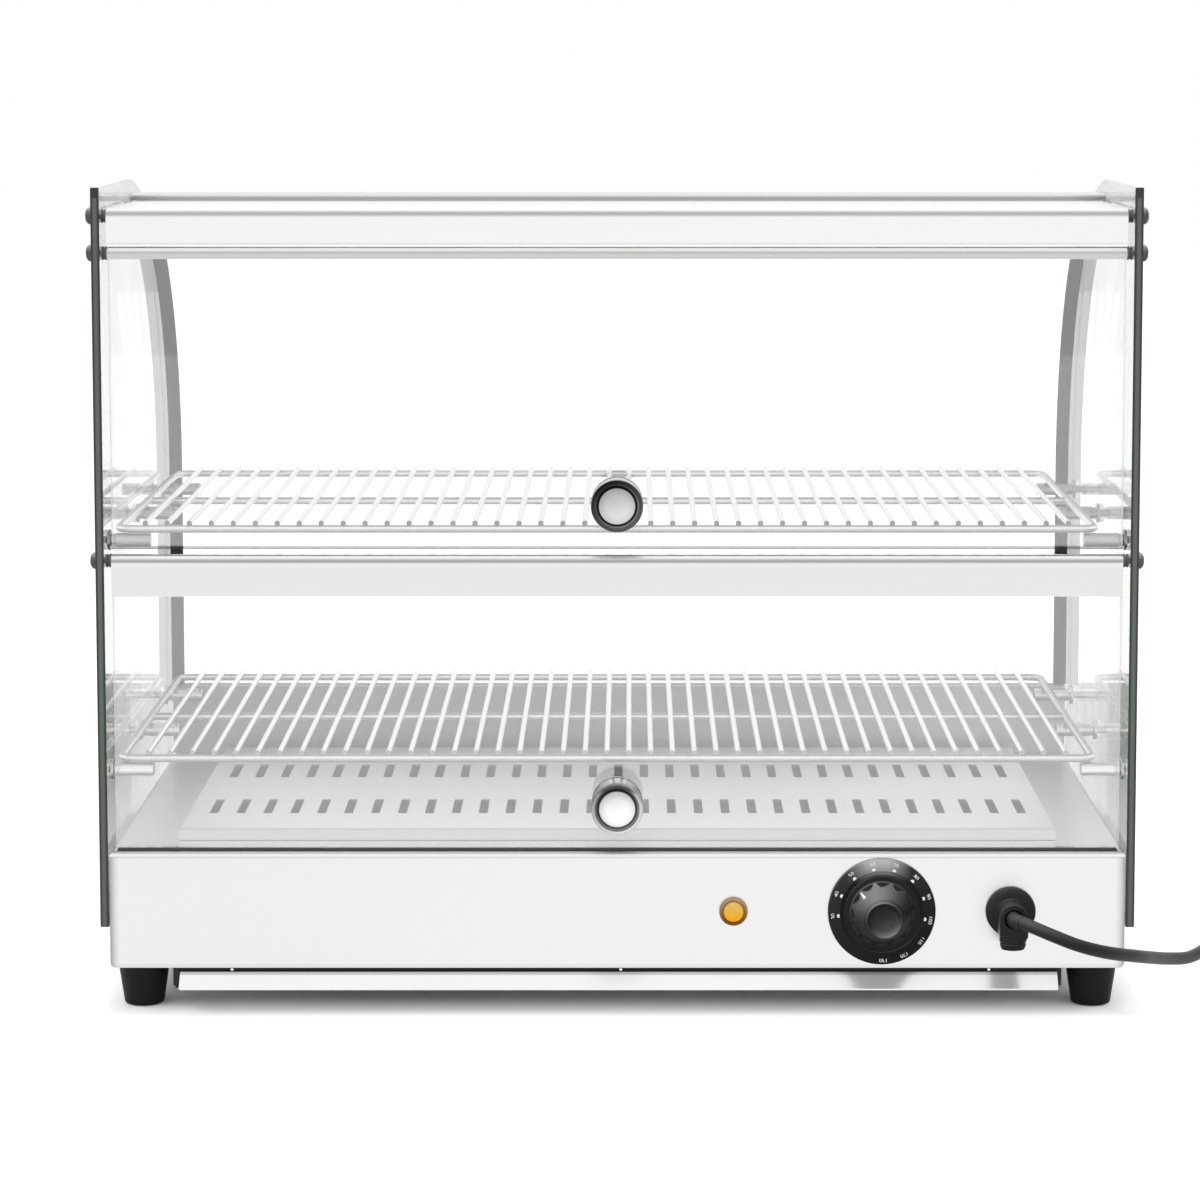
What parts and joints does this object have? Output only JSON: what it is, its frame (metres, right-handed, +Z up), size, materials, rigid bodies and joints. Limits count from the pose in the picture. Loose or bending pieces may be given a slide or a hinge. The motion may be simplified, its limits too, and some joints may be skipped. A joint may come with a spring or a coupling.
{
  "type": "heated display case",
  "caption": "Countertop heated glass display case with a curved customer glass, lift-up operator flaps, wire shelves over a slotted heater deck, a crumb tray and a thermostat.",
  "frame": {"origin": "middle of the case's footprint, on the surface the feet stand on, without the cord, its coil, its tie and its plug", "axes": "+X to the operator's right, +Y away from the operator towards the curved customer glass, +Z up"},
  "size_m": [0.7978, 0.3639, 0.481],
  "materials": {
    "base_steel": "bright stainless sheet",
    "inner_steel": "plain sheet, mill finish",
    "heater_steel": "dull sheathed heater tube",
    "deck_steel": "bright stainless, slotted",
    "rail_steel": "bright folded stainless",
    "door_steel": "bright rolled stainless",
    "tray_steel": "polished stainless",
    "hardware_chrome": "bright plated",
    "knob_chrome": "bright plated",
    "shelf_wire": "bright plated wire",
    "side_glass": "clear toughened, ground edges",
    "curved_glass": "clear bent toughened",
    "door_glass": "clear toughened",
    "seal_rubber": "black extruded",
    "foot_rubber": "black moulded",
    "cord_rubber": "black sheath",
    "tie_rubber": "black band",
    "knob_cap": "dark glossy moulding",
    "runner_black": "black painted angle",
    "dial_plastic": "glossy black plate",
    "dial_knob_plastic": "glossy black moulding",
    "lamp_bezel": "brown translucent rim",
    "lamp_lens": "clear amber",
    "gland_plastic": "black moulding",
    "plug_plastic": "black moulding",
    "ceramic": "pale moulding"
  },
  "bodies": {
    "cabinet": {"base_housing": "base_steel", "base_floor": "inner_steel", "heater_element": "heater_steel", "terminal_block": "ceramic", "heater_deck": "deck_steel", "foot_near_left": "foot_rubber", "foot_near_right": "foot_rubber", "foot_far_left": "foot_rubber", "foot_far_right": "foot_rubber", "side_glass_left": "side_glass", "side_glass_right": "side_glass", "customer_glass": "curved_glass", "glass_seal_left": "seal_rubber", "glass_seal_right": "seal_rubber", "customer_channel": "rail_steel", "roof_plate": "rail_steel", "roof_rail": "rail_steel", "header_bolt_left": "hardware_chrome", "header_bolt_right": "hardware_chrome", "upper_pivot_left": "hardware_chrome", "upper_pivot_right": "hardware_chrome", "lower_pivot_left": "hardware_chrome", "lower_pivot_right": "hardware_chrome", "upper_peg_near_left": "hardware_chrome", "upper_peg_middle_left": "hardware_chrome", "upper_peg_far_left": "hardware_chrome", "upper_peg_near_right": "hardware_chrome", "upper_peg_middle_right": "hardware_chrome", "upper_peg_far_right": "hardware_chrome", "lower_peg_near_left": "hardware_chrome", "lower_peg_middle_left": "hardware_chrome", "lower_peg_far_left": "hardware_chrome", "lower_peg_near_right": "hardware_chrome", "lower_peg_middle_right": "hardware_chrome", "lower_peg_far_right": "hardware_chrome", "tray_runner_left": "runner_black", "tray_runner_right": "runner_black", "dial_plate": "dial_plastic", "thermostat_body": "ceramic", "pilot_lamp_bezel": "lamp_bezel", "pilot_lamp_lens": "lamp_lens", "cord_gland": "gland_plastic", "cord_clamp": "gland_plastic", "power_cord": "cord_rubber", "power_cord_coil": "cord_rubber", "coil_tie": "tie_rubber", "power_plug": "plug_plastic"},
    "upper_door": {"upper_door_rail": "door_steel", "upper_door_glass": "door_glass", "upper_door_knob": "knob_chrome", "upper_door_knob_cap": "knob_cap"},
    "lower_door": {"lower_door_rail": "door_steel", "lower_door_glass": "door_glass", "lower_door_knob": "knob_chrome", "lower_door_knob_cap": "knob_cap"},
    "upper_rack": {"upper_shelf": "shelf_wire"},
    "lower_rack": {"lower_shelf": "shelf_wire"},
    "tray": {"crumb_tray": "tray_steel"},
    "dial": {"thermostat_knob": "dial_knob_plastic"}
  },
  "joints": [
    {"name": "upper_door_hinge", "type": "hinge", "parent": "cabinet", "child": "upper_door", "pos_m": [0, -0.139, 0.4427], "axis": [-1, 0, 0], "range_deg": [0, 88]},
    {"name": "lower_door_hinge", "type": "hinge", "parent": "cabinet", "child": "lower_door", "pos_m": [0, -0.139, 0.2653], "axis": [-1, 0, 0], "range_deg": [0, 88]},
    {"name": "upper_shelf_lift", "type": "slide", "parent": "cabinet", "child": "upper_rack", "axis": [0, 0, 1], "range_m": [0, 0.02]},
    {"name": "lower_shelf_lift", "type": "slide", "parent": "cabinet", "child": "lower_rack", "axis": [0, 0, 1], "range_m": [0, 0.02]},
    {"name": "crumb_tray_slide", "type": "slide", "parent": "cabinet", "child": "tray", "axis": [0, -1, 0], "range_m": [0, 0.25]},
    {"name": "thermostat_turn", "type": "hinge", "parent": "cabinet", "child": "dial", "pos_m": [0.1534, -0.147, 0.0612], "axis": [0, 1, 0], "range_deg": [-50, 222]}
  ]
}
